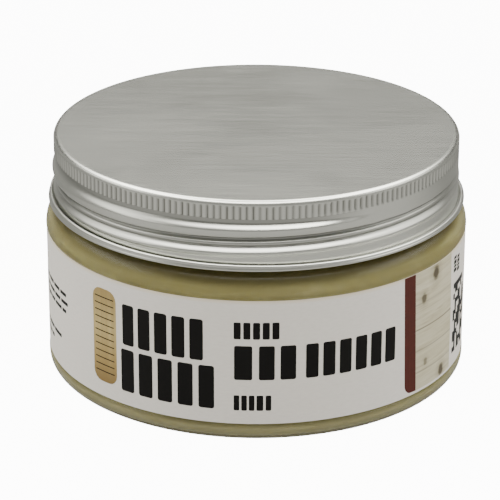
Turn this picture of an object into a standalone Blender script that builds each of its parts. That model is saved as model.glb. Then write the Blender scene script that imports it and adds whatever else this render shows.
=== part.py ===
"""Squat clear jar of wax polish with a wrap-round paper label and a rolled aluminium screw lid.

Metres, +Z up.  The origin is the centre of the jar's standing ring, and the front of the label
faces -Y.  Every piece is turned about the Z axis.  The dimensions below are in millimetres.

    jar         blown clear plastic jar with a one-turn screw neck
    wax         the set wax inside it
    label       printed paper strip wrapped round the jar's recessed panel
    lid         rolled aluminium lid: knurled band, rolled thread and curled hem
    lid_liner   foam sealing disc under the lid
"""

import math

import bmesh
import bpy

MM = 0.001

# Facets of every turned piece, so that neighbouring walls have their corners at the same angles.
SEGMENTS = 48
ARC_STEPS = 4
WELD = 1e-7

# Jar
BODY_RADIUS = 48.2
PANEL_RADIUS = 47.7
PANEL_BOTTOM = 4.0
PANEL_TOP = 33.8
PANEL_STEP = 0.25
HEEL_RADIUS = 2.5
STANDING_RING_INNER = 40.5
PUSH_UP = 2.2
SHOULDER_BOTTOM = 33.6
SHOULDER_HEIGHT = 5.8
NECK_RADIUS = 43.6
NECK_BOTTOM = 39.4
RIM_TOP = 53.3
RIM_ROUNDING = 0.5
WALL = 1.3
FLOOR = 1.5
INNER_HEEL = 3.0
BORE_RADIUS = 42.0

# Screw thread: one start, shared by the ridge on the neck and the groove rolled into the lid.
# Angles along it are counted from the front (-Y), anticlockwise seen from above.
LEAD = 5.08
GROOVE_HEIGHT_AT_FRONT = 46.6
GROOVE_START_DEG = -285.0
GROOVE_END_DEG = 85.0
GROOVE_DEPTH = 1.0
GROOVE_WIDTH = 0.6
RIDGE_OFFSET = 1.1
RIDGE_HEIGHT = 1.5
RIDGE_HALF_WIDTH = 1.5
RIDGE_START_DEG = -235.0
RIDGE_END_DEG = 165.0
RUN_OUT_DEG = 25.0
THREAD_ROW = 0.6

# Beads that the rolling raises beside the groove.  The upper one stops short of the groove's end.
BEAD_HEIGHT = 0.35
UPPER_CREST_OFFSET = 2.0
UPPER_BEAD_END_DEG = 40.0
UPPER_SLOPE_LENGTH = 2.6
LOWER_CREST_OFFSET = -2.8
LOWER_BEAD_WIDTH = 0.8

# Lid
LID_TOP = 55.2
LID_BOTTOM = 39.95
SKIRT_RADIUS = 45.9
SHEET = 0.35
TOP_ROUNDING = 1.1
KNURL_BOTTOM = 51.1
WAIST_TOP = 50.85
WAIST_BOTTOM = 50.25
WAIST_DEPTH = 0.4
WAIST_GAP_START_DEG = 35.0
WAIST_GAP_END_DEG = 125.0
THREAD_BOTTOM = 42.35
THREAD_FADE = 0.8
HEM_RADIUS = 47.35
HEM_TOP = 41.4
HEM_LIP_INNER = 46.5
HEM_GAP_BOTTOM = 40.7

# Sealing disc, label and wax
CLEARANCE = 0.1
LINER_RADIUS = 44.5
LABEL_RADIUS = 48.0
LABEL_BOTTOM = 4.4
LABEL_TOP = 33.4
WAX_LEVEL = 47.2
WAX_DISH = 0.8
WAX_CREEP = 0.6


def srgb(red, green, blue):
    """Scene-linear colour from eight-bit sRGB values."""
    def linear(value):
        value = value / 255.0
        if value <= 0.04045:
            return value / 12.92
        return ((value + 0.055) / 1.055) ** 2.4
    return (linear(red), linear(green), linear(blue), 1.0)


def material(name, colour, roughness, metallic=0.0, transmission=0.0):
    """A Principled material."""
    made = bpy.data.materials.new(name)
    made.use_nodes = True
    made.diffuse_color = colour
    shader = made.node_tree.nodes["Principled BSDF"]
    shader.inputs["Base Color"].default_value = colour
    shader.inputs["Roughness"].default_value = roughness
    shader.inputs["Metallic"].default_value = metallic
    shader.inputs["Transmission Weight"].default_value = transmission
    return made


def arc(centre, radii, start_deg, end_deg, steps=ARC_STEPS):
    """Points (radius, height) along a stretch of an ellipse, both ends included."""
    points = []
    for step in range(steps + 1):
        angle = math.radians(start_deg + (end_deg - start_deg) * step / steps)
        points.append((centre[0] + radii[0] * math.cos(angle),
                       centre[1] + radii[1] * math.sin(angle)))
    return points


def heights_between(top, bottom, row):
    """Evenly spaced heights from top down to bottom, no further apart than a row."""
    count = math.ceil((top - bottom) / row)
    return [top + (bottom - top) * step / count for step in range(count + 1)]


def turned(name, profile, finish, base=0.0, closed=False, reshape=None):
    """A piece turned about Z from its (radius, height) profile, with its origin at height base.

    reshape(angle_deg, radius, height) gives a point's new radius, where the piece isn't round.
    """
    mesh_builder = bmesh.new()
    points = [mesh_builder.verts.new((0.0, -radius, height)) for radius, height in profile]
    edges = [mesh_builder.edges.new(pair) for pair in zip(points, points[1:])]
    if closed:
        edges.append(mesh_builder.edges.new((points[-1], points[0])))
    bmesh.ops.spin(mesh_builder, geom=points + edges, cent=(0, 0, 0), axis=(0, 0, 1),
                   angle=math.tau, steps=SEGMENTS, use_merge=True)
    bmesh.ops.remove_doubles(mesh_builder, verts=mesh_builder.verts, dist=WELD / MM)
    bmesh.ops.recalc_face_normals(mesh_builder, faces=mesh_builder.faces)
    for point in mesh_builder.verts:
        radius = math.hypot(point.co.x, point.co.y)
        stretch = 1.0
        if reshape and radius > 1.0:
            angle = math.degrees(math.atan2(point.co.x, -point.co.y))
            stretch = reshape(angle, radius, point.co.z) / radius
        point.co.x *= stretch * MM
        point.co.y *= stretch * MM
        point.co.z = (point.co.z - base) * MM
    mesh = bpy.data.meshes.new(name)
    mesh_builder.to_mesh(mesh)
    mesh_builder.free()
    mesh.shade_smooth()
    mesh.set_sharp_from_angle(angle=math.radians(40))
    mesh.materials.append(finish)
    piece = bpy.data.objects.new(name, mesh)
    piece.location.z = base * MM
    bpy.context.scene.collection.objects.link(piece)
    return piece


def eased(value):
    """0 to 1, with level ends."""
    value = min(max(value, 0.0), 1.0)
    return value * value * (3.0 - 2.0 * value)


def along_helix(angle_deg, height, start_deg, end_deg):
    """Each turn of the helix at this angle: (angle along it, height above the groove, strength)."""
    turns = []
    for whole_turns in (-1, 0, 1):
        along = angle_deg + 360.0 * whole_turns
        if start_deg <= along <= end_deg:
            groove_height = GROOVE_HEIGHT_AT_FRONT + LEAD * along / 360.0
            strength = eased((along - start_deg) / RUN_OUT_DEG) * eased((end_deg - along) / RUN_OUT_DEG)
            turns.append((along, height - groove_height, strength))
    return turns


def bell(distance, width):
    return math.exp(-(distance / width) ** 2)


def neck_radius(angle_deg, radius, height):
    """The screw ridge stands out of the neck's outer wall."""
    if abs(radius - NECK_RADIUS) > 0.01 or not NECK_BOTTOM < height < RIM_TOP:
        return radius
    ridge = 0.0
    for _, above, strength in along_helix(angle_deg, height, RIDGE_START_DEG, RIDGE_END_DEG):
        off_crest = min(abs(above - RIDGE_OFFSET) / RIDGE_HALF_WIDTH, 1.0)
        ridge = max(ridge, strength * RIDGE_HEIGHT * math.cos(off_crest * math.pi / 2) ** 2)
    return radius + ridge


def waist_strength(angle_deg):
    """The waist under the knurled band fades out on the right, where the thread starts."""
    off_gap = abs(angle_deg - (WAIST_GAP_START_DEG + WAIST_GAP_END_DEG) / 2)
    half_gap = (WAIST_GAP_END_DEG - WAIST_GAP_START_DEG) / 2
    return eased((off_gap - half_gap) / RUN_OUT_DEG)


def upper_bead(height, above):
    """0 to 1: the bead slopes from its crest in to the waist, or to the plain skirt further round."""
    crest = height - above + UPPER_CREST_OFFSET
    slope_top = min(WAIST_BOTTOM, crest + UPPER_SLOPE_LENGTH)
    if height > crest:
        return 1.0 - eased((height - crest) / (slope_top - crest))
    return eased(above / UPPER_CREST_OFFSET)


def lid_radius(angle_deg, radius, height):
    """The rolled groove, its two beads and the waist under the knurled band."""
    if not THREAD_BOTTOM - 0.01 < height < KNURL_BOTTOM - 0.01:
        return radius
    waist = eased((height - WAIST_BOTTOM + WAIST_DEPTH) / WAIST_DEPTH)
    offset = -WAIST_DEPTH * waist * waist_strength(angle_deg)
    above_plain_skirt = eased((height - THREAD_BOTTOM) / THREAD_FADE)
    for along, above, strength in along_helix(angle_deg, height, GROOVE_START_DEG, GROOVE_END_DEG):
        upper = upper_bead(height, above) * eased((UPPER_BEAD_END_DEG - along) / RUN_OUT_DEG)
        lower = bell(above - LOWER_CREST_OFFSET, LOWER_BEAD_WIDTH)
        groove = bell(above, GROOVE_WIDTH)
        offset += above_plain_skirt * strength * (BEAD_HEIGHT * (upper + lower) - GROOVE_DEPTH * groove)
    return radius + offset


def make_jar():
    """Blown jar: domed base, recessed label panel, rounded shoulder and screw neck."""
    shoulder_width = BODY_RADIUS - NECK_RADIUS
    outside = [(0.0, PUSH_UP), (STANDING_RING_INNER * 0.55, PUSH_UP * 0.85),
               (STANDING_RING_INNER * 0.85, PUSH_UP * 0.4), (STANDING_RING_INNER, 0.0)]
    outside += arc((BODY_RADIUS - HEEL_RADIUS, HEEL_RADIUS), (HEEL_RADIUS, HEEL_RADIUS), -90, 0)
    outside += [(BODY_RADIUS, PANEL_BOTTOM - PANEL_STEP), (PANEL_RADIUS, PANEL_BOTTOM),
                (PANEL_RADIUS, PANEL_TOP - PANEL_STEP), (BODY_RADIUS, PANEL_TOP)]
    outside += arc((NECK_RADIUS, SHOULDER_BOTTOM), (shoulder_width, SHOULDER_HEIGHT), 6, 90, 7)
    outside += [(NECK_RADIUS, height)
                for height in reversed(heights_between(RIM_TOP - RIM_ROUNDING, NECK_BOTTOM + 1.6, THREAD_ROW))]
    outside += [(NECK_RADIUS - RIM_ROUNDING, RIM_TOP)]
    inner_wall = PANEL_RADIUS - WALL
    inner_shoulder = inner_wall - BORE_RADIUS
    inside = [(BORE_RADIUS + RIM_ROUNDING, RIM_TOP), (BORE_RADIUS, RIM_TOP - RIM_ROUNDING)]
    inside += arc((BORE_RADIUS, SHOULDER_BOTTOM - WALL), (inner_shoulder, SHOULDER_HEIGHT), 90, 0, 6)
    inside += arc((inner_wall - INNER_HEEL, PUSH_UP + FLOOR + INNER_HEEL), (INNER_HEEL, INNER_HEEL), 0, -90)
    inside += [(0.0, PUSH_UP + FLOOR)]
    clear_plastic = material("clear_plastic", srgb(236, 238, 228), 0.06, transmission=1.0)
    return turned("jar", outside + inside, clear_plastic, reshape=neck_radius)


def make_wax():
    """Set wax that fills the jar to the neck, creeping up the wall and dished in the middle."""
    wall = PANEL_RADIUS - WALL - CLEARANCE
    neck = BORE_RADIUS - CLEARANCE
    floor = PUSH_UP + FLOOR + CLEARANCE
    heel = INNER_HEEL
    profile = [(0.0, floor)]
    profile += arc((wall - heel, floor + heel), (heel, heel), -90, 0)
    profile += arc((neck, SHOULDER_BOTTOM - WALL), (wall - neck, SHOULDER_HEIGHT - CLEARANCE), 0, 90, 6)
    profile += [(neck, WAX_LEVEL), (neck - WAX_CREEP, WAX_LEVEL - WAX_CREEP / 2),
                (neck * 0.8, WAX_LEVEL - WAX_DISH), (0.0, WAX_LEVEL - WAX_DISH)]
    return turned("wax", profile, material("wax", srgb(157, 147, 100), 0.45))


def make_label():
    """Paper strip round the jar's panel, its ends lapped and so one closed band."""
    inner = PANEL_RADIUS + CLEARANCE
    profile = [(inner, LABEL_BOTTOM), (LABEL_RADIUS, LABEL_BOTTOM),
               (LABEL_RADIUS, LABEL_TOP), (inner, LABEL_TOP)]
    return turned("label", profile, material("label_paper", srgb(200, 197, 190), 0.55),
                  base=LABEL_BOTTOM, closed=True)


def make_lid():
    """One sheet of aluminium: flat top, plain band for the knurl, rolled thread and open curled hem."""
    skirt_rows = heights_between(WAIST_TOP, THREAD_BOTTOM, THREAD_ROW)
    corner = (SKIRT_RADIUS - TOP_ROUNDING, LID_TOP - TOP_ROUNDING)
    inner_rounding = TOP_ROUNDING - SHEET
    skirt_inner = SKIRT_RADIUS - SHEET
    hem_middle = (LID_BOTTOM + HEM_TOP) / 2
    hem_centre = (HEM_RADIUS + HEM_LIP_INNER) / 2
    outside = [(0.0, LID_TOP)]
    outside += arc(corner, (TOP_ROUNDING, TOP_ROUNDING), 90, 0, 4)
    outside += [(SKIRT_RADIUS, KNURL_BOTTOM)]
    outside += [(SKIRT_RADIUS, height) for height in skirt_rows]
    hem = [(SKIRT_RADIUS, HEM_GAP_BOTTOM), (HEM_LIP_INNER, HEM_GAP_BOTTOM)]
    hem += arc((hem_centre, HEM_TOP - 0.4), (HEM_RADIUS - hem_centre, 0.4), 180, 0, 4)
    hem += [(HEM_RADIUS, hem_middle)]
    hem += arc((HEM_RADIUS - 0.7, LID_BOTTOM + 0.5), (0.7, 0.5), 0, -90, 3)
    hem += [(SKIRT_RADIUS, LID_BOTTOM), (skirt_inner, LID_BOTTOM + SHEET)]
    inside = [(skirt_inner, height) for height in reversed(skirt_rows)]
    inside += [(skirt_inner, KNURL_BOTTOM)]
    inside += arc(corner, (inner_rounding, inner_rounding), 0, 90, 3)
    inside += [(0.0, LID_TOP - SHEET)]
    aluminium = material("satin_aluminium", srgb(196, 196, 190), 0.32, metallic=1.0)
    return turned("lid", outside + hem + inside, aluminium, base=LID_BOTTOM, reshape=lid_radius)


def make_lid_liner():
    """Foam disc that seals the rim."""
    bottom = RIM_TOP + CLEARANCE
    top = LID_TOP - SHEET - CLEARANCE
    profile = [(0.0, bottom), (LINER_RADIUS, bottom), (LINER_RADIUS, top), (0.0, top)]
    return turned("lid_liner", profile, material("white_foam", srgb(238, 238, 234), 0.8), base=bottom)


def build():
    for old in list(bpy.data.objects):
        bpy.data.objects.remove(old, do_unlink=True)
    screw_axis = bpy.data.objects.new("screw_axis", None)
    bpy.context.scene.collection.objects.link(screw_axis)
    make_jar()
    make_wax()
    make_label()
    for moving in (make_lid_liner(), make_lid()):
        moving.parent = screw_axis


build()
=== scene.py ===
"""Looks of a squat clear jar of wax polish with a wrap-round label and a rolled aluminium screw lid.

Every piece is turned or wrapped about the Z axis.  Lengths are in millimetres until a mesh or a
node is made.  Angles are in degrees, counted from the front (-Y) towards +X.
"""

import math
import random

import bmesh
import bpy
import numpy as np
from mathutils import Matrix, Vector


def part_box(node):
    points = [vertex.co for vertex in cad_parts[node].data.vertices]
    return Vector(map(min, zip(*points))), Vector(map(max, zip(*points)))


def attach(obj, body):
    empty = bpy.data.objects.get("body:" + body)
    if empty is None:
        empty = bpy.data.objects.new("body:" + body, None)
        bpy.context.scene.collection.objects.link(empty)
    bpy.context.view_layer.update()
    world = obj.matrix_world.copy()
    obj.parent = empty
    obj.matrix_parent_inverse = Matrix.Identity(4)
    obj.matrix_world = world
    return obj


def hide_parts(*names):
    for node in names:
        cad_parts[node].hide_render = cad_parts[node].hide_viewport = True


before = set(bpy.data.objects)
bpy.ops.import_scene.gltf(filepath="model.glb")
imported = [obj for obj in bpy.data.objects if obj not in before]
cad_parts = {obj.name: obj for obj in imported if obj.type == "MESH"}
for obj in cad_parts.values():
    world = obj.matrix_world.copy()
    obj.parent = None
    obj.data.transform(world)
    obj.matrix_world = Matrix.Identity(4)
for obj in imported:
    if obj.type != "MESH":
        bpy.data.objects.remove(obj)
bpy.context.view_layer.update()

MM = 0.001
SEED = 11


def top_of(node):
    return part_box(node)[1][2] / MM


def bottom_of(node):
    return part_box(node)[0][2] / MM


def radius_of(node):
    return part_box(node)[1][0] / MM


# ---------------------------------------------------------------- sizes

# Places taken from the CAD
BODY_INSET = 0.12
BODY_RADIUS = radius_of("jar") - BODY_INSET
RIM_TOP = top_of("jar")
LID_TOP = top_of("lid")
LID_BOTTOM = bottom_of("lid")
LABEL_TOP = top_of("label")
LABEL_BOTTOM = bottom_of("label")

# Lid; DISC_SAG holds (radius, how far the disc sinks there)
SKIRT_RADIUS = 45.9
SHEET = 0.35
TOP_ROUNDING = 1.1
SKIRT_ROWS = (41.5, 41.2, 40.95, 40.7)
DISC_SAG = ((0.0, 0.06), (12.0, 0.05), (26.0, 0.03), (38.0, 0.01), (43.4, 0.0), (44.3, 0.0))

# Open curl at the lid's lower edge, and the gap between it and the skirt.  The curl's upper edge
# is lower on the right by HEM_TILT and higher on the left by as much.
HEM_RADIUS = 47.35
HEM_BEAD = 0.45
HEM_TILT = 0.32
HEM_TILT_FROM, HEM_TILT_OVER = 40.3, 0.9
GAP_BOTTOM = 40.56

# Knurl; FLUTE_PROFILE holds the depth across one flute as a share of its full depth
KNURL_TOP, KNURL_BOTTOM = 54.35, 51.15
KNURL_DEPTH = 0.3
KNURL_ROWS = (54.25, 54.08, 53.85, 53.5, 53.0, 52.2, 51.7, 51.45, 51.3, 51.18)
FLUTES = 205
FLUTE_TOP, FLUTE_BOTTOM = 54.06, 51.2
FLUTE_PROFILE = (1.0, 0.52, 0.07, 0.0, 0.07, 0.52)
KNURL_FOOT = 51.1
LID_COLUMNS = 2 * FLUTES
KNURL_COLUMNS = len(FLUTE_PROFILE) * FLUTES

# Waist under the knurl, which fades out on the right, where the thread starts
WAIST_TOP, WAIST_BOTTOM = 50.95, 50.2
WAIST_DEPTH = 0.7
WAIST_ROUNDING = 0.15
WAIST_GAP_AT, WAIST_GAP_HALF = 80.0, 45.0
WAIST_SLOPE_LOWEST, WAIST_SLOPE_HIGHEST = 47.3, 49.4
WAIST_SLOPE_LEFT, WAIST_SLOPE_LEFT_OVER = -90.0, 40.0

# Screw thread rolled into the lid; the bead is the rolled crest above its groove
LEAD = 5.08
GROOVE_AT_FRONT = 46.6
GROOVE_START, GROOVE_END = -285.0, 85.0
RUN_OUT = 25.0
THREAD_BOTTOM = 42.0
THREAD_FADE = 0.8
THREAD_ROW = 0.16
BEAD_ABOVE = 2.0
BEAD_CREST = 0.44
BEAD_FALL = 2.6
UPPER_BEAD_END = 40.0

# How far the rolled skirt stands off its plain radius, by height above the groove
THREAD_PROFILE = ((-5.2, 0.0), (-4.7, 0.0), (-4.1, 0.04), (-3.6, 0.2), (-3.3, 0.38), (-3.1, 0.44),
                  (-2.9, 0.4), (-2.65, 0.2), (-2.4, -0.05), (-2.1, -0.36), (-1.86, -0.56), (-1.68, -0.62),
                  (-1.45, -0.42), (-1.2, -0.28), (-0.95, -0.27), (-0.65, -0.5), (-0.4, -0.86), (0.0, -0.97),
                  (0.2, -0.84), (0.4, -0.3), (0.6, 0.12), (1.0, 0.26), (1.5, 0.38), (2.0, 0.44))

# Painted shade: shares of the metal's colour darkened in the knurl's valleys and the thread's groove, and
# where the gap above the hem is shaded
KNURL_SHADE, THREAD_SHADE, GAP_SHADE = 0.55, 0.52, 0.48
GAP_SHADE_FROM, GAP_SHADE_TO = 40.4, 41.25

# Liner, and the dent that the jar's rim leaves in it
LINER_COLUMNS = 192
LINER_BEVEL = 0.15
DENT = 0.09

# Jar; BASE_INSIDE runs over the push-up to the middle
JAR_COLUMNS = 256
WALL = 1.3
PANEL_RADIUS = 47.83
PANEL_BOTTOM, PANEL_TOP = 4.0, 33.8
SHOULDER_BOTTOM, SHOULDER_HEIGHT = 33.6, 5.8
NECK_RADIUS, BORE_RADIUS = 43.6, 42.0
NECK_BOTTOM = 39.7
NECK_ROW = 0.22
RIM_ROUNDING = 0.5
HEEL_RADIUS = 2.5
STANDING_RING_INNER = 40.5
PUSH_UP = 2.2
INNER_WALL = 46.4
INNER_BASE_RADIUS = 47.2
INNER_HEEL = 2.0
BASE_THICKNESS = 1.05
BASE_INSIDE = ((42.6, 0.98), (40.2, 1.1), (STANDING_RING_INNER * 0.85, 1.9),
               (STANDING_RING_INNER * 0.55, 2.9), (10.0, 3.2), (0.0, 3.22))

# Thread ridge on the neck
RIDGE_START, RIDGE_END = -235.0, 165.0
RIDGE_ABOVE = 1.1
RIDGE_HALF_WIDTH = 1.5
RIDGE_DEPTH = 1.5

# Wax; it stands WET into the jar's wall, and MENISCUS holds (radius, how far it climbs there)
WAX_COLUMNS = 160
WET = 0.05
WAX_RIM = 47.2
WAX_FLAT = 46.4
MENISCUS = ((41.6, 0.6), (41.0, 0.4), (40.0, 0.22), (38.0, 0.1), (35.0, 0.04))
WAX_TOP_RADII = (31.0, 27.0, 23.0, 19.0, 15.0, 11.0, 7.5, 4.0, 0.0)

# Label, whose right end laps over its left end at the back, and the thickness of its print
LABEL_INNER, LABEL_OUTER = 47.86, 47.99
LABEL_START, LABEL_END = -176.0, 190.0
LABEL_ROWS = (11.6, 18.9, 26.2)
LAP = 0.14
LAP_FROM, LAP_OVER = 181.5, 2.0
PRINT_INNER, PRINT_OUTER = 47.98, 48.015
PRINT_FACET = 1.2
MM_PER_DEGREE = math.radians(1.0) * PRINT_OUTER


# ---------------------------------------------------------------- shapes

def eased(value):
    """0 to 1 with a soft start and end."""
    value = np.clip(value, 0.0, 1.0)
    return value * value * (3.0 - 2.0 * value)


def arc(centre, radii, start, end, steps):
    """Points (radius, height) along a stretch of an ellipse."""
    turns = np.radians(np.linspace(start, end, steps + 1))
    return [(centre[0] + radii[0] * math.cos(t), centre[1] + radii[1] * math.sin(t)) for t in turns]


def heights(top, bottom, row):
    """Evenly spaced heights, at most one row apart."""
    return list(np.linspace(top, bottom, math.ceil(abs(top - bottom) / row) + 1))


def new_object(name, builder, material, sharp):
    """A smooth-shaded object; edges steeper than the sharp angle stay sharp, and 0 keeps none."""
    bmesh.ops.recalc_face_normals(builder, faces=builder.faces)
    mesh = bpy.data.meshes.new(name)
    builder.to_mesh(mesh)
    builder.free()
    mesh.shade_smooth()
    if sharp:
        mesh.set_sharp_from_angle(angle=math.radians(sharp))
    mesh.materials.append(material)
    piece = bpy.data.objects.new(name, mesh)
    bpy.context.scene.collection.objects.link(piece)
    return piece


def lathe(name, rows, columns, material, sharp, shape=None, fine=(), fine_columns=0):
    """A closed turned piece from (radius, height) rows, which start and end on the axis.

    shape(angles, row, radii, levels) gives the radii and heights round one row.  Rows whose numbers
    are in fine have more columns.
    """
    builder = bmesh.new()
    rings = []
    for row, (radius, height) in enumerate(rows):
        if radius == 0.0:
            rings.append([builder.verts.new((0, 0, height * MM))])
            continue
        count = fine_columns if row in fine else columns
        angles = np.arange(count) * 360.0 / count - 180.0
        radii, levels = np.full(count, radius), np.full(count, height)
        if shape:
            radii, levels = shape(angles, row, radii, levels)
        turns = np.radians(angles)
        points = np.stack([radii * np.sin(turns), -radii * np.cos(turns), levels], 1) * MM
        rings.append([builder.verts.new(point) for point in points.tolist()])
    for few, many in zip(rings, rings[1:]):
        if len(few) > len(many):
            few, many = many, few
        step = len(many) // len(few)
        for index in range(len(many) if len(few) == 1 else len(few)):
            if len(few) == 1:
                corners = [few[0], many[index], many[(index + 1) % len(many)]]
            else:
                corners = [few[(index + 1) % len(few)], few[index]]
                corners += [many[(index * step + k) % len(many)] for k in range(step + 1)]
            builder.faces.new(corners)
    return new_object(name, builder, material, sharp)


def helix(angles, level, start, end):
    """Each turn of the thread: (angle along it, height above the groove, strength)."""
    for whole in (-1, 0, 1):
        along = angles + 360.0 * whole
        strength = eased((along - start) / RUN_OUT) * eased((end - along) / RUN_OUT)
        yield along, level - GROOVE_AT_FRONT - LEAD * along / 360.0, strength


# ---------------------------------------------------------------- nodes

def linear(red, green, blue):
    """Scene-linear colour from eight-bit sRGB values."""
    channels = [value / 255.0 for value in (red, green, blue)]
    channels = [c / 12.92 if c <= 0.04045 else ((c + 0.055) / 1.055) ** 2.4 for c in channels]
    return (*channels, 1.0)


class Graph:
    """A node tree and short ways to add nodes to it."""

    def __init__(self, tree):
        self.nodes, self.links = tree.nodes, tree.links

    def add(self, kind, inputs=None, **attributes):
        """A new node; each input is linked to another node's output, or set to a constant."""
        node = self.nodes.new(kind)
        for key, value in attributes.items():
            setattr(node, key, value)
        for key, value in (inputs or {}).items():
            if isinstance(value, bpy.types.NodeSocket):
                self.links.new(value, node.inputs[key])
            else:
                node.inputs[key].default_value = value
        return node

    def axis(self, where, letter):
        return self.add("ShaderNodeSeparateXYZ", {"Vector": where}).outputs[letter]

    def maths(self, operation, *values):
        return self.add("ShaderNodeMath", dict(enumerate(values)), operation=operation).outputs[0]

    def ranged(self, value, low, high, to_low=0.0, to_high=1.0, curve="LINEAR"):
        """Runs from to_low to to_high while the value runs from low to high."""
        inputs = {"Value": value, "From Min": low, "From Max": high, "To Min": to_low, "To Max": to_high}
        return self.add("ShaderNodeMapRange", inputs, interpolation_type=curve).outputs["Result"]

    def ramp(self, value, *stops):
        """A colour that follows the value through (position, colour) stops."""
        node = self.add("ShaderNodeValToRGB", {"Fac": value})
        elements = node.color_ramp.elements
        while len(elements) < len(stops):
            elements.new(0.5)
        for element, (position, colour) in zip(elements, stops):
            element.position = position
            element.color = colour
        return node.outputs["Color"]


class Finish(Graph):
    """A Principled material; its scales are per metre, its heights and bumps in millimetres."""

    def __init__(self, name, **settings):
        self.material = bpy.data.materials.new(name)
        self.material.use_nodes = True
        super().__init__(self.material.node_tree)
        self.shader = self.nodes["Principled BSDF"]
        for socket, value in settings.items():
            self.shader.inputs[socket.replace("_", " ")].default_value = value
        self.bumps = None

    def place(self, stretch=(1, 1, 1), uv=None):
        """Object coordinates, or those of a named UV map, stretched."""
        if uv:
            source = self.add("ShaderNodeUVMap", uv_map=uv).outputs["UV"]
        else:
            source = self.add("ShaderNodeTexCoord").outputs["Object"]
        return self.add("ShaderNodeMapping", {"Vector": source, "Scale": stretch}).outputs["Vector"]

    def noise(self, where, scale, detail=3.0, roughness=0.55, distortion=0.0):
        inputs = {"Vector": where, "Scale": scale, "Detail": detail,
                  "Roughness": roughness, "Distortion": distortion}
        return self.add("ShaderNodeTexNoise", inputs).outputs["Fac"]

    def cells(self, where, scale):
        return self.add("ShaderNodeTexVoronoi", {"Vector": where, "Scale": scale}).outputs["Distance"]

    def by_height(self, low, high, to_low, to_high):
        """Runs from to_low to to_high between two heights."""
        return self.ranged(self.axis(self.place(), "Z"), low * MM, high * MM, to_low, to_high)

    def mix(self, amount, first, second, blend="MIX"):
        inputs = {0: amount, 6: first, 7: second}
        return self.add("ShaderNodeMix", inputs, data_type="RGBA", blend_type=blend).outputs[2]

    def set(self, socket, value):
        self.links.new(value, self.shader.inputs[socket])

    def bump(self, height, distance, strength):
        """Adds a bump over those added before."""
        inputs = {"Height": height, "Distance": distance * MM, "Strength": strength}
        if self.bumps:
            inputs["Normal"] = self.bumps
        self.bumps = self.add("ShaderNodeBump", inputs).outputs["Normal"]
        self.set("Normal", self.bumps)


# ---------------------------------------------------------------- materials

def satin_aluminium():
    """Satin rolled sheet: fine rolling grain and faint cloudiness, a little duller below the disc, with
    painted shade in its recesses.
    """
    finish = Finish("satin_aluminium", Metallic=1.0)
    where = finish.place()
    clouds = finish.noise(where, 28.0, 4.0, 0.6, 0.6)
    grain = finish.noise(finish.place((60, 1400, 700)), 1.0, 3.0, 0.6)
    specks = finish.noise(where, 2600.0, 2.0, 0.6)
    base = finish.ramp(clouds, (0.3, linear(201, 202, 196)), (0.7, linear(206, 207, 201)))
    grainy = finish.ramp(grain, (0.3, linear(199, 200, 194)), (0.7, linear(208, 209, 203)))
    bright = finish.mix(0.25, base, grainy)
    # Painted shade: the stored recess shade darkens the metal's colour in the knurl's valleys, the thread's
    # groove and the gap above the hem.
    recess_shade = finish.add("ShaderNodeVertexColor", layer_name="recess_shade").outputs["Color"]
    finish.set("Base Color", finish.mix(1.0, bright, recess_shade, "MULTIPLY"))
    roughness = finish.maths("ADD", finish.ranged(clouds, 0.3, 0.7, 0.235, 0.255),
                             finish.ranged(grain, 0.3, 0.7, -0.012, 0.012))
    rolled = finish.by_height(LID_TOP - 0.5, LID_TOP - 0.1, 0.05, 0.0)
    finish.set("Roughness", finish.maths("ADD", roughness, rolled))
    finish.bump(grain, 0.005, 0.2)
    finish.bump(specks, 0.004, 0.2)
    return finish.material


def clear_plastic():
    """Clear blown plastic: slightly wavy, with a faint straw tint that deepens where it's seen edge on."""
    finish = Finish("clear_plastic", Transmission_Weight=1.0, IOR=1.34, Specular_IOR_Level=0.18)
    where = finish.place()
    waves = finish.noise(where, 70.0, 2.0, 0.5)
    smears = finish.noise(finish.place((1, 1, 2.5)), 45.0, 4.0, 0.6)
    tint = finish.ramp(waves, (0.2, linear(240, 240, 226)), (0.8, linear(246, 246, 236)))
    edge = finish.add("ShaderNodeLayerWeight", {"Blend": 0.5}).outputs["Facing"]
    tint = finish.mix(finish.ranged(edge, 0.7, 1.0, 0.0, 0.8), tint, linear(168, 180, 120))
    finish.set("Base Color", tint)
    finish.set("Roughness", finish.ranged(smears, 0.35, 0.75, 0.16, 0.22))
    finish.bump(waves, 0.06, 0.35)
    return finish.material


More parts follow.
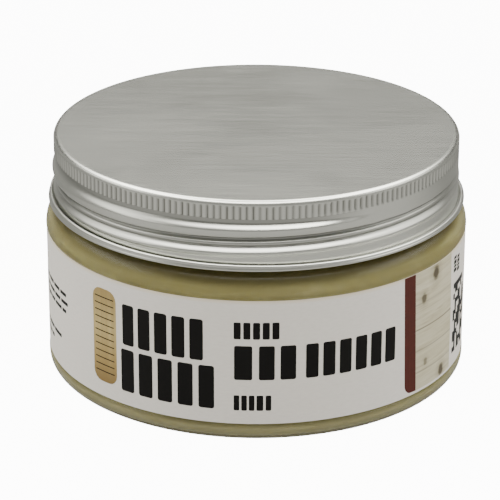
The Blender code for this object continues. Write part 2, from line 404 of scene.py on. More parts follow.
def wax_paste():
    """Olive-yellow wax, a little translucent: clouds, blooms, level streaks, fine pits, a painted shadow in
    a ring under the lid's hem and painted light in a pale band at the heel."""
    finish = Finish("wax", Subsurface_Weight=0.15, Subsurface_Scale=2.0 * MM,
                    Subsurface_Radius=(1.0, 0.75, 0.3), IOR=1.44, Specular_IOR_Level=0.4)
    where = finish.place()
    clouds = finish.noise(where, 32.0, 4.0, 0.6, 0.8)
    blooms = finish.noise(where, 210.0, 3.0, 0.65)
    streaks = finish.noise(finish.place((48, 48, 520)), 1.0, 4.0, 0.6, 0.4)
    # Painted light: a pale band on the wax at the heel, which lifts the shade there.
    heel_light = finish.by_height(1.5, 4.5, 0.7, 0.0)
    # Painted shadow: a dark ring on the wax under the lid's hem, where the hem shades it.
    hem_shadow = finish.maths("MULTIPLY", finish.by_height(35.3, 37.2, 0.0, 0.52),
                        finish.by_height(38.3, 39.6, 1.0, 0.0))
    colour = finish.ramp(clouds, (0.25, linear(166, 156, 101)), (0.5, linear(176, 167, 114)),
                         (0.8, linear(188, 180, 129)))
    colour = finish.mix(finish.ranged(blooms, 0.55, 0.8, 0.0, 0.3), colour, linear(208, 198, 148))
    colour = finish.mix(finish.ranged(streaks, 0.42, 0.66, 0.3, 0.0), colour, linear(132, 120, 72))
    colour = finish.mix(finish.ranged(streaks, 0.56, 0.72, 0.0, 0.35), colour, linear(204, 196, 146))
    # Painted light at the heel.
    colour = finish.mix(heel_light, colour, linear(226, 220, 180))
    # Painted shadow under the lid's hem.
    colour = finish.mix(hem_shadow, colour, linear(84, 69, 26))
    finish.set("Base Color", colour)
    finish.set("Roughness", finish.ranged(clouds, 0.3, 0.7, 0.38, 0.5))
    finish.bump(clouds, 0.6, 0.3)
    finish.bump(finish.cells(where, 900.0), 0.04, 0.3)
    return finish.material


def label_paper():
    """Coated white paper: faint fibres, a slight cockle from the glue, a creamy line at its top edge."""
    finish = Finish("label_paper", IOR=1.46, Specular_IOR_Level=0.45)
    fibres = finish.noise(finish.place((700, 1900, 1), uv="flat"), 1.0, 4.0, 0.6)
    cockle = finish.noise(finish.place((22, 60, 1), uv="flat"), 1.0, 2.0, 0.5)
    edge = finish.by_height(LABEL_TOP - 0.9, LABEL_TOP - 0.15, 0.0, 1.0)
    paper = finish.ramp(fibres, (0.3, linear(238, 233, 226)), (0.7, linear(246, 241, 234)))
    paper = finish.mix(finish.ranged(cockle, 0.3, 0.7, 0.0, 0.25), paper, linear(236, 230, 222))
    finish.set("Base Color", finish.mix(edge, paper, linear(240, 229, 208)))
    finish.set("Roughness", finish.ranged(fibres, 0.3, 0.7, 0.44, 0.54))
    finish.bump(cockle, 0.22, 0.4)
    finish.bump(fibres, 0.012, 0.35)
    return finish.material


def ink(name, deep, light, roughness):
    """A print colour, slightly mottled."""
    finish = Finish(name, Specular_IOR_Level=0.15)
    where = finish.place()
    mottle = finish.noise(where, 900.0, 3.0, 0.6)
    drift = finish.noise(where, 90.0, 2.0, 0.5)
    colour = finish.ramp(mottle, (0.35, deep), (0.75, light))
    finish.set("Base Color", finish.mix(finish.ranged(drift, 0.3, 0.7, 0.0, 0.5), colour, light))
    finish.set("Roughness", finish.ranged(mottle, 0.3, 0.7, roughness - 0.05, roughness + 0.06))
    finish.bump(mottle, 0.012, 0.4)
    return finish.material


def gold_ink():
    """Printed gold, shaded from bottom to top, with fine upright streaks."""
    finish = Finish("gold_ink", Metallic=0.25)
    shade = finish.by_height(7.5, 31.0, 0.0, 1.0)
    streaks = finish.noise(finish.place((900, 14, 1), uv="flat"), 1.0, 3.0, 0.6)
    colour = finish.ramp(shade, (0.0, linear(132, 106, 60)), (0.25, linear(184, 156, 96)),
                         (0.6, linear(216, 194, 134)), (1.0, linear(176, 150, 94)))
    colour = finish.mix(finish.ranged(streaks, 0.35, 0.7, 0.0, 0.45), colour, linear(150, 124, 72))
    finish.set("Base Color", colour)
    finish.set("Roughness", finish.ranged(streaks, 0.3, 0.7, 0.36, 0.5))
    finish.bump(streaks, 0.01, 0.4)
    return finish.material


# The picture of boards: joints as (height, strength), knots as (angle, height, size, strength)
BOARD_JOINTS = ((19.6, 0.75), (14.5, 0.45), (25.7, 0.35), (9.2, 0.4))
KNOTS = ((55.6, 31.2, 1.5, 0.95), (50.2, 26.6, 1.1, 0.85), (59.8, 6.4, 1.35, 0.95), (51.5, 11.0, 0.8, 0.6))
KNOT_FLATNESS = 0.75


def plank_print():
    """A printed picture of pale weathered boards: level joints, grain and knots."""
    finish = Finish("plank_print", Specular_IOR_Level=0.4)
    flat = finish.place(uv="flat")
    across, up = finish.axis(flat, "X"), finish.axis(flat, "Y")
    grain = finish.noise(finish.place((60, 900, 1), uv="flat"), 1.0, 5.0, 0.65, 0.7)
    tone = finish.noise(finish.place((18, 60, 1), uv="flat"), 1.0, 2.0, 0.5)
    colour = finish.ramp(grain, (0.25, linear(170, 158, 128)), (0.5, linear(207, 200, 174)),
                         (0.8, linear(228, 223, 202)))
    colour = finish.mix(finish.ranged(tone, 0.3, 0.7, 0.0, 0.5), colour, linear(200, 192, 162))
    for height, strength in BOARD_JOINTS:
        off = finish.maths("ABSOLUTE", finish.maths("SUBTRACT", up, height * MM))
        line = finish.ranged(off, 0.08 * MM, 0.26 * MM, strength, 0.0)
        colour = finish.mix(line, colour, linear(110, 98, 78))
    ragged = finish.ranged(grain, 0.3, 0.7, -0.2 * MM, 0.2 * MM)
    for angle, height, size, strength in KNOTS:
        right = finish.maths("SUBTRACT", across, angle * MM_PER_DEGREE * MM)
        above = finish.maths("MULTIPLY", finish.maths("SUBTRACT", up, height * MM), KNOT_FLATNESS)
        squares = finish.maths("ADD", finish.maths("POWER", right, 2.0), finish.maths("POWER", above, 2.0))
        away = finish.maths("ADD", finish.maths("SQRT", squares), ragged)
        halo = finish.ranged(away, size * MM * 0.7, size * MM * 2.2, strength * 0.45, 0.0)
        colour = finish.mix(halo, colour, linear(140, 128, 98))
        core = finish.ranged(away, size * MM * 0.55, size * MM, strength, 0.0)
        colour = finish.mix(core, colour, linear(76, 66, 48))
    finish.set("Base Color", colour)
    finish.set("Roughness", finish.ranged(grain, 0.3, 0.7, 0.45, 0.56))
    finish.bump(grain, 0.01, 0.3)
    return finish.material


def white_foam():
    """Closed-cell sealing foam."""
    finish = Finish("white_foam", Specular_IOR_Level=0.3)
    where = finish.place()
    cells = finish.cells(where, 1600.0)
    clouds = finish.noise(where, 60.0, 3.0)
    finish.set("Base Color", finish.ramp(clouds, (0.3, linear(232, 231, 226)), (0.7, linear(241, 240, 236))))
    finish.set("Roughness", finish.ranged(cells, 0.0, 0.7, 0.82, 0.66))
    finish.bump(cells, 0.09, 0.6)
    return finish.material


# ---------------------------------------------------------------- lid

def waist_strength(angles):
    off_gap = np.abs((angles - WAIST_GAP_AT + 180.0) % 360.0 - 180.0)
    return eased((off_gap - WAIST_GAP_HALF) / RUN_OUT)


def waist_offset(angles, level):
    """The waist's slope starts at the bead's crest in front and at one height on the left."""
    slope_start = np.clip(GROOVE_AT_FRONT + BEAD_ABOVE + LEAD * angles / 360.0,
                          WAIST_SLOPE_LOWEST, WAIST_SLOPE_HIGHEST)
    left = eased((WAIST_SLOPE_LEFT - angles) / WAIST_SLOPE_LEFT_OVER)
    slope_start = slope_start + (WAIST_SLOPE_HIGHEST - slope_start) * left
    sink = eased((level - slope_start) / (WAIST_BOTTOM - slope_start))
    sink = sink * eased((KNURL_BOTTOM - level) / WAIST_ROUNDING)
    return -WAIST_DEPTH * waist_strength(angles) * sink


def rolled_offset(angles, level):
    """How far the skirt stands off its plain radius at one height."""
    total = waist_offset(angles, level)
    if level > WAIST_TOP:
        return total
    fade = eased((level - THREAD_BOTTOM) / THREAD_FADE)
    for along, above, strength in helix(angles, level, GROOVE_START, GROOVE_END):
        crest = level - above + BEAD_ABOVE
        slope_top = np.minimum(WAIST_BOTTOM, crest + BEAD_FALL)
        falling = BEAD_CREST * (1.0 - eased((level - crest) / (slope_top - crest)))
        rolled = np.where(above > BEAD_ABOVE, falling, np.interp(above, *zip(*THREAD_PROFILE)))
        upper_bead = eased((UPPER_BEAD_END - along) / RUN_OUT)
        total = total + fade * strength * np.where(above > 0.5, rolled * upper_bead, rolled)
    return total


def wobble(angles, size, phase):
    """Slight unevenness round the rolled sheet."""
    turns = np.radians(angles)
    waves = ((1.0, 3, 1.0), (0.7, 7, 2.1), (0.4, 17, 3.0))
    return size * sum(height * np.sin(times * turns + shift * phase) for height, times, shift in waves)


def hem_outline():
    """The open curl: an upper bead, a shallow valley and a lower lip."""
    bead = arc((HEM_RADIUS - 0.67, LID_BOTTOM + 0.76), (HEM_BEAD, HEM_BEAD), 170, 10, 11)
    valley = [(HEM_RADIUS - 0.23, LID_BOTTOM + 0.68), (HEM_RADIUS - 0.18, LID_BOTTOM + 0.55)]
    lip = arc((HEM_RADIUS - 0.32, LID_BOTTOM + 0.18), (0.32, 0.34), 38, -60, 8)
    return bead + valley + lip + [(HEM_RADIUS - 0.4, LID_BOTTOM)]


def lid_outline():
    """The lid's rows, and what kind of surface each is on."""
    rows, kinds = [], []

    def add(kind, points):
        rows.extend(points)
        kinds.extend([kind] * len(points))

    corner = (SKIRT_RADIUS - TOP_ROUNDING, LID_TOP - TOP_ROUNDING)
    inner_rounding = TOP_ROUNDING - SHEET
    inside = SKIRT_RADIUS - SHEET
    thread_rows = heights(WAIST_TOP, THREAD_BOTTOM, THREAD_ROW)
    add("plain", [(radius, LID_TOP - sag) for radius, sag in DISC_SAG])
    add("plain", arc(corner, (TOP_ROUNDING, TOP_ROUNDING), 90, 12, 9))
    add("knurl", [(SKIRT_RADIUS, level) for level in KNURL_ROWS])
    add("rolled", [(SKIRT_RADIUS, level) for level in [KNURL_FOOT, KNURL_FOOT - 0.08] + thread_rows])
    add("plain", [(SKIRT_RADIUS, level) for level in SKIRT_ROWS])
    add("plain", [(SKIRT_RADIUS + 0.1, GAP_BOTTOM + 0.02), (SKIRT_RADIUS + 0.24, GAP_BOTTOM)])
    add("hem", [(SKIRT_RADIUS + 0.31, GAP_BOTTOM + 0.08)] + hem_outline())
    add("plain", [(SKIRT_RADIUS - 0.05, LID_BOTTOM), (inside + 0.08, LID_BOTTOM + 0.1),
                  (inside, LID_BOTTOM + 0.4)])
    add("rolled", [(inside, level) for level in thread_rows[::-1] + [KNURL_FOOT]])
    add("plain", arc(corner, (inner_rounding, inner_rounding), 0, 90, 5))
    add("plain", [(0.0, LID_TOP - SHEET - 0.04)])
    return rows, kinds


def make_lid(material):
    rows, kinds = lid_outline()
    draw = random.Random(SEED)
    ends = [draw.gauss(FLUTE_TOP, 0.07) for _ in range(FLUTES)]
    starts = [draw.gauss(FLUTE_BOTTOM, 0.04) for _ in range(FLUTES)]
    depths = [draw.uniform(0.85, 1.1) * KNURL_DEPTH for _ in range(FLUTES)]
    across = np.tile(FLUTE_PROFILE, FLUTES)
    flute_ends, flute_starts, flute_depths = (np.repeat(values, len(FLUTE_PROFILE))
                                              for values in (ends, starts, depths))

    def shape(angles, row, radii, levels):
        kind, level = kinds[row], levels[0]
        if kind == "knurl":
            below = np.maximum(eased((level - flute_starts) / 0.6), waist_strength(angles))
            reach = eased((flute_ends - level) / 0.28 + 0.5) * below
            radii = radii - flute_depths * across * reach
        elif kind == "rolled":
            radii = radii + rolled_offset(angles, level)
        elif kind == "hem":
            upper = eased((level - HEM_TILT_FROM) / HEM_TILT_OVER)
            tilt = wobble(angles, size=0.02, phase=0.7) - HEM_TILT * np.sin(np.radians(angles))
            levels = levels + tilt * upper
            radii = radii + wobble(angles, size=0.012, phase=1.9)
        return radii, levels

    knurl_rows = [row for row, kind in enumerate(kinds) if kind == "knurl"]
    lid = lathe("lid_rolled", rows, LID_COLUMNS, material, 50.0, shape, knurl_rows, KNURL_COLUMNS)
    shade_recesses(lid.data)
    return lid


def shade_recesses(mesh):
    """Stores how open each point of the rolled sheet is, as painted shade that darkens the metal's colour in
    its recesses and in the gap above the hem.
    """
    places = np.zeros(len(mesh.vertices) * 3)
    mesh.vertices.foreach_get("co", places)
    x, y, level = (places.reshape(-1, 3) / MM).T
    radius = np.hypot(x, y)
    sunk = SKIRT_RADIUS - radius
    knurl = np.clip(sunk / KNURL_DEPTH, 0.0, 1.0) * (level > KNURL_BOTTOM) * (level < KNURL_TOP)
    thread = np.clip((sunk - 0.05) / 0.8, 0.0, 1.0) * (level > THREAD_BOTTOM) * (level < KNURL_BOTTOM)
    tilt = HEM_TILT * x / np.maximum(radius, 1.0)
    gap = eased((GAP_SHADE_TO - tilt - level) / 0.35) * (level > GAP_SHADE_FROM)
    gap = gap * (sunk < 0.05) * eased((sunk + 0.4) / 0.2)
    # Painted shade: a smaller share of light in the knurl's valleys, the thread's groove and the gap above
    # the hem.
    open_sky = 1.0 - KNURL_SHADE * knurl - THREAD_SHADE * thread - GAP_SHADE * gap
    values = np.repeat(np.clip(open_sky, 0.0, 1.0), 4)
    values[3::4] = 1.0
    recess_shade = mesh.color_attributes.new("recess_shade", "FLOAT_COLOR", "POINT")
    recess_shade.data.foreach_set("color", values)


def make_liner(material):
    """The sealing disc, dented a little by the jar's rim."""
    bottom, top = bottom_of("lid_liner"), top_of("lid_liner")
    radius = radius_of("lid_liner")
    rows = [(0.0, top), (radius - LINER_BEVEL, top), (radius, top - LINER_BEVEL),
            (radius, bottom + LINER_BEVEL), (radius - LINER_BEVEL, bottom), (NECK_RADIUS + 0.2, bottom)]
    dent = ((NECK_RADIUS - BORE_RADIUS) / 2, DENT)
    rows += arc(((NECK_RADIUS + BORE_RADIUS) / 2, bottom), dent, 0, 180, 6)
    rows += [(BORE_RADIUS - 0.2, bottom), (30.0, bottom + 0.02), (0.0, bottom + 0.03)]
    return lathe("liner_foam", rows, LINER_COLUMNS, material, 30.0)


# ---------------------------------------------------------------- jar and wax

def cavity(wet=0.0):
    """The jar's inside from the bore to the middle of the base; the wax stands wet into its wall."""
    wall, bore, heel = INNER_WALL + wet, BORE_RADIUS + wet, INNER_HEEL + wet
    outline = arc((bore, SHOULDER_BOTTOM - WALL), (wall - bore, SHOULDER_HEIGHT), 90, 0, 12)
    outline += [(wall, 22.0), (wall, 5.2 + wet), (wall + 0.15, 4.2 + wet),
                (INNER_BASE_RADIUS - 0.15 + wet, 3.6 + wet), (INNER_BASE_RADIUS + wet, 3.1)]
    heel_centre = (INNER_BASE_RADIUS - INNER_HEEL, BASE_THICKNESS + INNER_HEEL)
    outline += arc(heel_centre, (heel, heel), 0, -90, 8)[1:]
    return outline + [(radius, height - wet) for radius, height in BASE_INSIDE]


def make_jar(material):
    rows = [(0.0, PUSH_UP), (10.0, PUSH_UP - 0.02), (STANDING_RING_INNER * 0.55, PUSH_UP * 0.85),
            (STANDING_RING_INNER * 0.85, PUSH_UP * 0.4), (STANDING_RING_INNER - 0.6, 0.12),
            (STANDING_RING_INNER, 0.0)]
    rows += arc((BODY_RADIUS - HEEL_RADIUS, HEEL_RADIUS), (HEEL_RADIUS, HEEL_RADIUS), -90, 0, 12)
    rows += [(BODY_RADIUS, PANEL_BOTTOM - 0.4), (BODY_RADIUS - 0.06, PANEL_BOTTOM - 0.22),
             (PANEL_RADIUS + 0.08, PANEL_BOTTOM - 0.05), (PANEL_RADIUS, PANEL_BOTTOM + 0.06),
             (PANEL_RADIUS, 12.0), (PANEL_RADIUS, 22.0),
             (PANEL_RADIUS, PANEL_TOP - 0.32), (PANEL_RADIUS + 0.08, PANEL_TOP - 0.2),
             (BODY_RADIUS - 0.06, PANEL_TOP - 0.05), (BODY_RADIUS, PANEL_TOP + 0.12)]
    rows += arc((NECK_RADIUS, SHOULDER_BOTTOM), (BODY_RADIUS - NECK_RADIUS, SHOULDER_HEIGHT), 6, 90, 16)
    neck_start = len(rows)
    rows += [(NECK_RADIUS, level) for level in heights(NECK_BOTTOM, RIM_TOP - 0.7, NECK_ROW)]
    neck_end = len(rows)
    rim = (RIM_ROUNDING, RIM_ROUNDING)
    rows += arc((NECK_RADIUS - RIM_ROUNDING, RIM_TOP - RIM_ROUNDING), rim, 10, 90, 4)
    rows += arc((BORE_RADIUS + RIM_ROUNDING, RIM_TOP - RIM_ROUNDING), rim, 90, 180, 4)
    rows += [(BORE_RADIUS, 49.0), (BORE_RADIUS, 44.0)] + cavity()

    def shape(angles, row, radii, levels):
        if neck_start <= row < neck_end:
            ridge = np.zeros(len(angles))
            for _, above, strength in helix(angles, levels[0], RIDGE_START, RIDGE_END):
                off_crest = np.minimum(np.abs(above - RIDGE_ABOVE) / RIDGE_HALF_WIDTH, 1.0)
                ridge = np.maximum(ridge, strength * RIDGE_DEPTH * np.cos(off_crest * math.pi / 2) ** 2)
            radii = radii + ridge
        return radii, levels

    return lathe("jar_clear", rows, JAR_COLUMNS, material, 60.0, shape)


def make_wax(material):
    edge = BORE_RADIUS + WET
    rows = cavity(WET)[::-1]
    rows += [(edge, 42.0), (edge, 45.0)]
    top_start = len(rows)
    rows += [(edge, WAX_RIM), (edge - 0.15, WAX_RIM - 0.05)]
    rows += [(radius, WAX_FLAT + climb) for radius, climb in MENISCUS]
    rows += [(radius, WAX_FLAT) for radius in WAX_TOP_RADII]

    def shape(angles, row, radii, levels):
        if row >= top_start:
            turns = np.radians(angles)
            reach = np.clip((42.2 - radii[0]) / 4.0, 0.0, 1.0)
            x, y = radii * np.sin(turns), -radii * np.cos(turns)
            swirl = np.sin(0.16 * x + 1.1) * np.sin(0.13 * y - 0.4) + 0.5 * np.sin(0.31 * x - 0.22 * y + 2.0)
            levels = levels + (0.17 * swirl - 0.1) * reach
        return radii, levels

    return lathe("wax_fill", rows, WAX_COLUMNS, material, 50.0, shape)


# ---------------------------------------------------------------- label

def lay_flat(builder, spots):
    """Gives each corner of each face its place on the flat strip, for the printed patterns."""
    flat = builder.loops.layers.uv.new("flat")
    for face in builder.faces:
        for loop in face.loops:
            loop[flat].uv = spots[loop.vert]


def make_label(material):
    """A strip round the jar, one degree to a facet."""
    builder = bmesh.new()
    corners = [(LABEL_INNER, LABEL_BOTTOM), (LABEL_OUTER, LABEL_BOTTOM)]
    corners += [(LABEL_OUTER, level) for level in LABEL_ROWS]
    corners += [(LABEL_OUTER, LABEL_TOP), (LABEL_INNER, LABEL_TOP), (LABEL_INNER, LABEL_ROWS[1])]
    sections, spots = [], {}
    for angle in np.linspace(LABEL_START, LABEL_END, round(LABEL_END - LABEL_START) + 1):
        lift = LAP * float(eased((angle - LAP_FROM) / LAP_OVER))
        turn = math.radians(angle)
        section = []
        for radius, level in corners:
            out = (radius + lift) * MM
            vert = builder.verts.new((out * math.sin(turn), -out * math.cos(turn), level * MM))
            spots[vert] = (angle * MM_PER_DEGREE * MM, level * MM)
            section.append(vert)
        sections.append(section)
    for left, right in zip(sections, sections[1:]):
        for k in range(len(corners)):
            following = (k + 1) % len(corners)
            builder.faces.new((left[k], right[k], right[following], left[following]))
    builder.faces.new(sections[0])
    builder.faces.new(sections[-1][::-1])
    lay_flat(builder, spots)
    return new_object("label_strip", builder, material, 30.0)


# ---------------------------------------------------------------- print

# Rows of blocks that stand for words: left, right, bottom, top, relative widths, rounding
BLOCK_GAP = 0.27
WORDS = ((-37.3, -13.8, 18.9, 28.5, (1, 1, 1, 1, 1), 0.5),
         (-37.9, -10.9, 7.7, 17.8, (1, 1, 1, 1, 1), 0.5),
         (-5.8, 5.9, 24.5, 28.4, (1, 1, 1, 1, 1), 0.25),
         (-5.7, 10.3, 14.9, 22.9, (1.15, 1, 1), 0.4),
         (12.9, 39.2, 14.9, 22.9, (1, 1, 1, 1, 1, 1), 0.4),
         (-5.8, 3.9, 7.6, 11.2, (1, 1, 1, 1.2, 1), 0.25))

# Fine print: lines on the left as (height, right end), upright marks on the right as their lengths,
# and groups of lines at the back as (left end, right end, number of lines)
DASH_HEIGHT, DASH_ROUNDING = 0.8, 0.2
LEFT_LINES = ((23.0, -62.0), (21.0, -61.0), (19.0, -62.2), (11.8, -66.0), (9.6, -73.0))
LEFT_LINES_END = -104.0
LEFT_DASHES, LEFT_DASH_GAP = (2.2, 6.0), 0.75
MARK_COLUMNS = ((67.0, 27.6), (69.9, 27.1))
MARK_WIDTH, MARK_GAP = 2.1, 0.24
MARK_LENGTHS = (0.9, 0.55, 0.95, 0.7)
BACK_GROUPS = ((112.0, 168.0, 9), (196.0, 244.0, 7))
BACK_TOP, BACK_SPACING = 29.2, 2.35
BACK_DASHES, BACK_DASH_GAP = (2.0, 6.5), 0.8
SHORTEST_DASH = 0.8

# Random pattern of squares, side in degrees across and in millimetres up
SQUARE, SQUARES_LEFT, SQUARES_BOTTOM = 1.32, 67.4, 7.6
SQUARE_COLUMNS, SQUARE_LINES = 9, 13
SQUARE_SHARE, SQUARE_INSET = 0.64, 0.02

# Gold plaque and the level lines on it, and the top edge of the stripe and the picture
PLAQUE_LEFT, PLAQUE_RIGHT, PLAQUE_BOTTOM, PLAQUE_TOP = -48.1, -39.5, 8.0, 30.4
PLAQUE_ROUNDING = 2.4
PLAQUE_LINE, PLAQUE_SPACING = 0.24, 1.62
PICTURE_TOP = LABEL_TOP - 0.05
PICTURE_BOTTOM = 5.0


def printed(name, outlines, material, inner=PRINT_INNER, outer=PRINT_OUTER):
    """Flat printed shapes wrapped on the label; outlines are closed lists of (degrees, height)."""
    builder = bmesh.new()
    for outline in outlines:
        points = [(angle * MM_PER_DEGREE, level) for angle, level in outline]
        area = sum(a[0] * b[1] - b[0] * a[1] for a, b in zip(points, points[1:] + points[:1]))
        if area < 0:
            points.reverse()
        builder.faces.new([builder.verts.new((x, level, 0.0)) for x, level in points])
    low = min(vert.co.x for vert in builder.verts)
    high = max(vert.co.x for vert in builder.verts)
    for cut in np.arange(math.floor(low) + 1.0, high, PRINT_FACET):
        everything = builder.verts[:] + builder.edges[:] + builder.faces[:]
        bmesh.ops.bisect_plane(builder, geom=everything, dist=1e-5, plane_co=(cut, 0, 0), plane_no=(1, 0, 0))
    front = bmesh.ops.extrude_face_region(builder, geom=builder.faces[:])
    for item in front["geom"]:
        if isinstance(item, bmesh.types.BMVert):
            item.co.z = 1.0
    lay_flat(builder, {vert: (vert.co.x * MM, vert.co.y * MM) for vert in builder.verts})
    for vert in builder.verts:
        turn = math.radians(vert.co.x / MM_PER_DEGREE)
        radius = outer if vert.co.z > 0.5 else inner
        vert.co = (radius * math.sin(turn) * MM, -radius * math.cos(turn) * MM, vert.co.y * MM)
    return new_object(name, builder, material, 30.0)


def block(left, right, bottom, top, rounding):
    """A rounded upright block; left and right in degrees, the rest in millimetres."""
    rounding = min(rounding, (top - bottom) / 2.01, (right - left) * MM_PER_DEGREE / 2.01)
    wide = rounding / MM_PER_DEGREE
    points = []
    for x, y, start in ((right - wide, bottom + rounding, -90), (right - wide, top - rounding, 0),
                        (left + wide, top - rounding, 90), (left + wide, bottom + rounding, 180)):
        points += arc((x, y), (wide, rounding), start, start + 90, 4)
    return points


def word(left, right, bottom, top, widths, rounding):
    """Upright blocks in a row in place of a word; a gap follows each block, and is part of its width."""
    unit = (right - left) / (sum(widths) - BLOCK_GAP * widths[-1])
    blocks = []
    for width in widths:
        blocks.append(block(left, left + (1.0 - BLOCK_GAP) * width * unit, bottom, top, rounding))
        left += width * unit
    return blocks


def dash(left, right, level):
    return block(left, right, level, level + DASH_HEIGHT, DASH_ROUNDING)


def left_lines(draw):
    dashes = []
    for level, right in LEFT_LINES:
        while right > LEFT_LINES_END:
            width = draw.uniform(*LEFT_DASHES)
            dashes.append(dash(right - width, right, level))
            right -= width + LEFT_DASH_GAP
    return dashes


def upright_marks():
    marks = []
    for left, level in MARK_COLUMNS:
        for length in MARK_LENGTHS:
            marks.append(block(left, left + MARK_WIDTH, level, level + length, DASH_ROUNDING))
            level += length + MARK_GAP
    return marks


def back_lines(draw):
    """Lines of dashes; every fourth line ends short, as a paragraph does."""
    dashes = []
    for start, end, lines in BACK_GROUPS:
        for line in range(lines):
            stop = end - (draw.uniform(2.0, 16.0) if line % 4 == 3 else draw.uniform(0.0, 2.5))
            left = start
            while left < stop:
                width = min(draw.uniform(*BACK_DASHES), stop - left)
                if width > SHORTEST_DASH:
                    dashes.append(dash(left, left + width, BACK_TOP - line * BACK_SPACING))
                left += width + BACK_DASH_GAP
    return dashes


def random_squares(draw):
    """Squares by chance in place of a printed code; they encode nothing."""
    squares = []
    for column in range(SQUARE_COLUMNS):
        for line in range(SQUARE_LINES):
            if draw.random() < SQUARE_SHARE:
                left = SQUARES_LEFT + column * SQUARE + SQUARE_INSET
                bottom = SQUARES_BOTTOM + line * SQUARE + SQUARE_INSET
                right = left + SQUARE - 2 * SQUARE_INSET
                top = bottom + SQUARE - 2 * SQUARE_INSET
                squares.append([(left, bottom), (right, bottom), (right, top), (left, top)])
    return squares


def stripe_outline():
    """A leaning stripe whose lower left end is rounded."""
    corner = arc((45.9, 7.3), (2.8, 2.3), 180, 250, 5)
    return [(42.1, PICTURE_TOP), (43.1, 7.4)] + corner + [(47.6, PICTURE_BOTTOM), (46.3, PICTURE_TOP)]


def planks_outline():
    return [(47.7, PICTURE_BOTTOM), (65.4, PICTURE_BOTTOM), (65.4, 19.0), (64.6, PICTURE_TOP),
            (46.4, PICTURE_TOP)]


def make_print():
    """Everything printed on the label, with plain blocks and dashes in place of lettering."""
    draw = random.Random(SEED + 1)
    black = ink("black_ink", linear(11, 10, 9), linear(18, 16, 15), 0.5)
    red_brown = ink("red_brown_ink", linear(74, 33, 27), linear(86, 40, 33), 0.45)
    words = [letter for row in WORDS for letter in word(*row)]
    small = left_lines(draw) + upright_marks() + back_lines(draw)
    squares = random_squares(draw)
    plaque = block(PLAQUE_LEFT, PLAQUE_RIGHT, PLAQUE_BOTTOM, PLAQUE_TOP, PLAQUE_ROUNDING)
    plaque_lines = [block(PLAQUE_LEFT + 0.8, PLAQUE_RIGHT - 0.8, level, level + PLAQUE_LINE, 0.1)
                    for level in np.arange(PLAQUE_BOTTOM + 2.4, PLAQUE_TOP - 2.0, PLAQUE_SPACING)]
    return [printed("print_words", words, black),
            printed("print_small", small, black),
            printed("print_squares", squares, black),
            printed("print_plaque", [plaque], gold_ink()),
            printed("print_plaque_lines", plaque_lines, black, PRINT_OUTER - 0.01, PRINT_OUTER + 0.02),
            printed("print_stripe", [stripe_outline()], red_brown),
            printed("print_planks", [planks_outline()], plank_print())]


# ---------------------------------------------------------------- studio

CAMERA_ELEVATION = math.radians(22.65)
CAMERA_DISTANCE = 600.0
CAMERA_RIGHT, CAMERA_UP = -1.40, 23.26
CAMERA_ROLL = math.radians(0.14)
LENS, SENSOR = 184.2, 36.0

# Brightness of the studio by the cosine of the angle from the dome's axis, which leans back
DOME_LEAN = math.radians(13.0)
DOME_PEAK = 11.0
DOME = ((0.0, 0.52), (0.2, 0.42), (0.42, 0.1), (0.55, 0.09), (0.62, 0.18), (0.69, 1.3), (0.76, 4.8),
        (0.82, 10.0), (0.91, 11.0), (0.965, 4.0), (1.0, 1.6))
SIDE_BRIGHTNESS = 3.2
STUDIO_COLOUR = (1.0, 0.987, 0.925, 1.0)
BACKDROP_BRIGHTNESS = 14.0
FLOOR_BRIGHTNESS = 12.0


def make_camera():
    settings = bpy.data.cameras.new("camera")
    settings.lens = LENS
    settings.sensor_width = SENSOR
    settings.clip_start = 0.01
    camera = bpy.data.objects.new("camera", settings)
    low, high = math.sin(CAMERA_ELEVATION), math.cos(CAMERA_ELEVATION)
    camera.location = (CAMERA_RIGHT * MM,
                       (-CAMERA_DISTANCE * high + CAMERA_UP * low) * MM,
                       (CAMERA_DISTANCE * low + CAMERA_UP * high) * MM)
    tilt = Matrix.Rotation(math.pi / 2 - CAMERA_ELEVATION, 3, "X") @ Matrix.Rotation(CAMERA_ROLL, 3, "Z")
    camera.rotation_euler = tilt.to_euler()
    bpy.context.scene.collection.objects.link(camera)
    bpy.context.scene.camera = camera


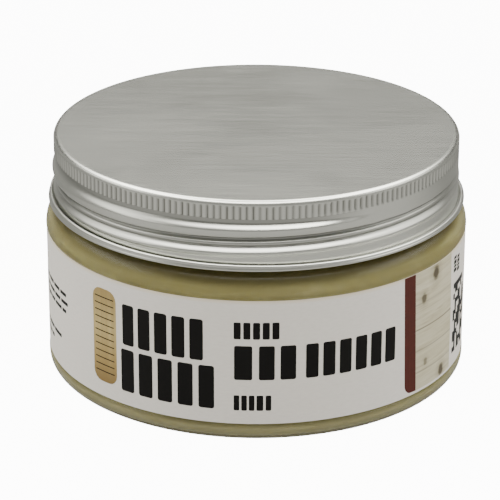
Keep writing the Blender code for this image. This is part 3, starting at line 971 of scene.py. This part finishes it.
def make_world():
    """A soft dome overhead, a softer light on each side, and a white backdrop for the camera alone."""
    world = bpy.data.worlds.new("studio")
    bpy.context.scene.world = world
    world.use_nodes = True
    sky = Graph(world.node_tree)
    towards = sky.add("ShaderNodeTexCoord").outputs["Generated"]
    axis = (0.0, math.sin(DOME_LEAN), math.cos(DOME_LEAN))
    height = sky.add("ShaderNodeVectorMath", {0: towards, 1: axis}, operation="DOT_PRODUCT").outputs["Value"]
    stops = [(position, (brightness / DOME_PEAK,) * 3 + (1.0,)) for position, brightness in DOME]
    overhead = sky.maths("MULTIPLY", sky.ramp(height, *stops), DOME_PEAK)
    aside = sky.maths("ABSOLUTE", sky.axis(towards, "X"))
    aside = sky.ranged(aside, 0.66, 0.88, curve="SMOOTHSTEP")
    above = sky.ranged(sky.axis(towards, "Z"), 0.28, 0.5, curve="SMOOTHSTEP")
    beside = sky.maths("MULTIPLY", aside, above)
    total = sky.maths("MULTIPLY_ADD", beside, SIDE_BRIGHTNESS, overhead)
    seen = sky.add("ShaderNodeLightPath").outputs["Is Camera Ray"]
    background = sky.nodes["Background"]
    background.inputs["Color"].default_value = STUDIO_COLOUR
    strength = sky.maths("MULTIPLY_ADD", seen, BACKDROP_BRIGHTNESS, total)
    sky.links.new(strength, background.inputs["Strength"])


def make_floor():
    """A plain pale floor with a very slight tooth. Its colour is darker behind the object, as painted shade,
    and it glows faintly to light the object, as painted light, less behind it.
    """
    builder = bmesh.new()
    bmesh.ops.create_circle(builder, cap_ends=True, segments=96, radius=3.0)
    finish = Finish("floor", Roughness=0.7, Specular_IOR_Level=0.2)
    tooth = finish.noise(finish.place(), 260.0, 3.0)
    behind = finish.ranged(finish.axis(finish.place(), "Y"), -40.0 * MM, 70.0 * MM)
    pale = finish.ramp(tooth, (0.3, linear(91, 90, 88)), (0.7, linear(95, 94, 92)))
    # Painted shade: the floor's colour is darker behind the object.
    finish.set("Base Color", finish.mix(behind, pale, linear(58, 58, 56)))
    finish.bump(tooth, 0.05, 0.2)
    seen = finish.add("ShaderNodeLightPath").outputs["Is Camera Ray"]
    finish.shader.inputs["Emission Color"].default_value = (1.0, 1.0, 0.99, 1.0)
    # Painted light: the floor glows faintly for everything it lights, less behind the object. The camera
    # alone sees it bright white.
    lift = finish.ranged(behind, 0.0, 1.0, 0.32, 0.12)
    finish.set("Emission Strength", finish.maths("MULTIPLY_ADD", seen, FLOOR_BRIGHTNESS, lift))
    floor = new_object("floor", builder, finish.material, 0)
    floor.location.z = -0.05 * MM


# ---------------------------------------------------------------- the object

lid = make_lid(satin_aluminium())
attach(lid, "lid_body")
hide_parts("lid")

liner = make_liner(white_foam())
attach(liner, "liner_body")
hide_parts("lid_liner")

jar = make_jar(clear_plastic())
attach(jar, "jar_body")
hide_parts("jar")

wax = make_wax(wax_paste())
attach(wax, "jar_body")
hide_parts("wax")

label = make_label(label_paper())
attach(label, "jar_body")
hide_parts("label")

for piece in make_print():
    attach(piece, "jar_body")

make_camera()
make_world()
make_floor()
